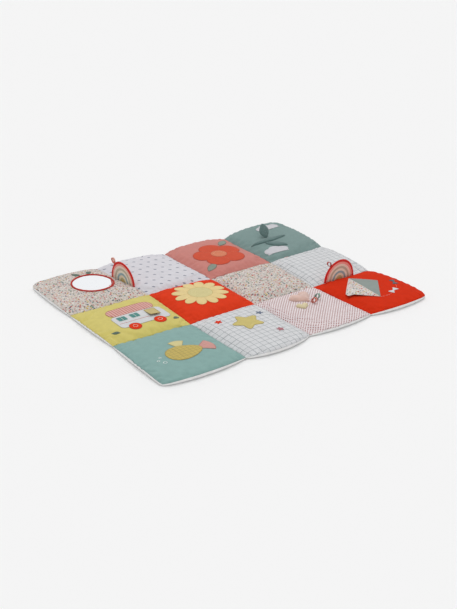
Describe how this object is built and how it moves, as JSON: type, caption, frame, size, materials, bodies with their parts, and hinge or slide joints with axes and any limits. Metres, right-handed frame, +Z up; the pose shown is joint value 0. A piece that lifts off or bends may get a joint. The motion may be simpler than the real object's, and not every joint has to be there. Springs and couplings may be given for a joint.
{
  "type": "baby play mat",
  "caption": "Filled patchwork floor mat for a baby, with sewn lines between its crowned patches and cloth shapes, ribbon loops, half-discs and a soft mirror sewn on.",
  "frame": {"origin": "middle of the mat's outline, on the floor under it", "axes": "+X along the mat's long side, +Y towards its far side, +Z up out of the patterned face"},
  "size_m": [1.336, 1.1066, 0.1041],
  "materials": {
    "quilted_cotton": "plain woven cotton",
    "soft_mirror": "soft plastic mirror film",
    "red_cotton": "plain woven cotton",
    "green_cotton": "plain woven cotton",
    "striped_cotton": "plain woven cotton",
    "ribbon_cream": "woven ribbon",
    "ribbon_red": "woven ribbon",
    "ribbon_green": "woven ribbon",
    "mustard_cotton": "plain woven cotton",
    "pink_cotton": "plain woven cotton",
    "cream_cotton": "plain woven cotton",
    "navy_cotton": "plain woven cotton",
    "plum_cotton": "plain woven cotton",
    "pink_plush": "short plush",
    "speckled_cotton": "plain woven cotton",
    "teal_cotton": "plain woven cotton",
    "white_cotton": "plain woven cotton",
    "dark_teal_cotton": "plain woven cotton",
    "orange_cotton": "plain woven cotton"
  },
  "bodies": {
    "root": {"blossom": "orange_cotton", "blossom_centre": "pink_cotton", "blossom_leaf_far": "green_cotton", "blossom_leaf_near": "green_cotton", "bus_body": "white_cotton", "bus_door": "mustard_cotton", "bus_leaf_left": "green_cotton", "bus_leaf_right": "green_cotton", "bus_roof": "pink_cotton", "bus_wheel_back": "red_cotton", "bus_wheel_front": "red_cotton", "bus_window_back": "dark_teal_cotton", "bus_window_front": "dark_teal_cotton", "cloud_far": "white_cotton", "cloud_near": "white_cotton", "daisy_centre": "mustard_cotton", "daisy_petals": "cream_cotton", "fish_body": "mustard_cotton", "fish_fin": "cream_cotton", "fish_tail": "pink_cotton", "heart_large": "pink_plush", "heart_small": "cream_cotton", "kite_bow_navy": "navy_cotton", "kite_bow_white": "white_cotton", "kite_half": "teal_cotton", "kite_sail": "speckled_cotton", "large_star": "cream_cotton", "mat": "quilted_cotton", "mirror_glass": "soft_mirror", "mirror_leaf_left": "green_cotton", "mirror_leaf_right": "green_cotton", "mirror_rim": "red_cotton", "rainbow_left": "striped_cotton", "rainbow_left_loop": "ribbon_cream", "rainbow_right": "striped_cotton", "rainbow_right_loop": "ribbon_red", "ribbon_loop_green": "ribbon_green", "ribbon_loop_red": "ribbon_red", "seam_tag": "pink_cotton", "small_star_blue": "navy_cotton", "small_star_plum": "plum_cotton", "small_star_red": "red_cotton", "sprig_leaf_lying": "dark_teal_cotton", "sprig_leaf_standing": "dark_teal_cotton", "sprig_stem": "dark_teal_cotton"}
  },
  "joints": []
}
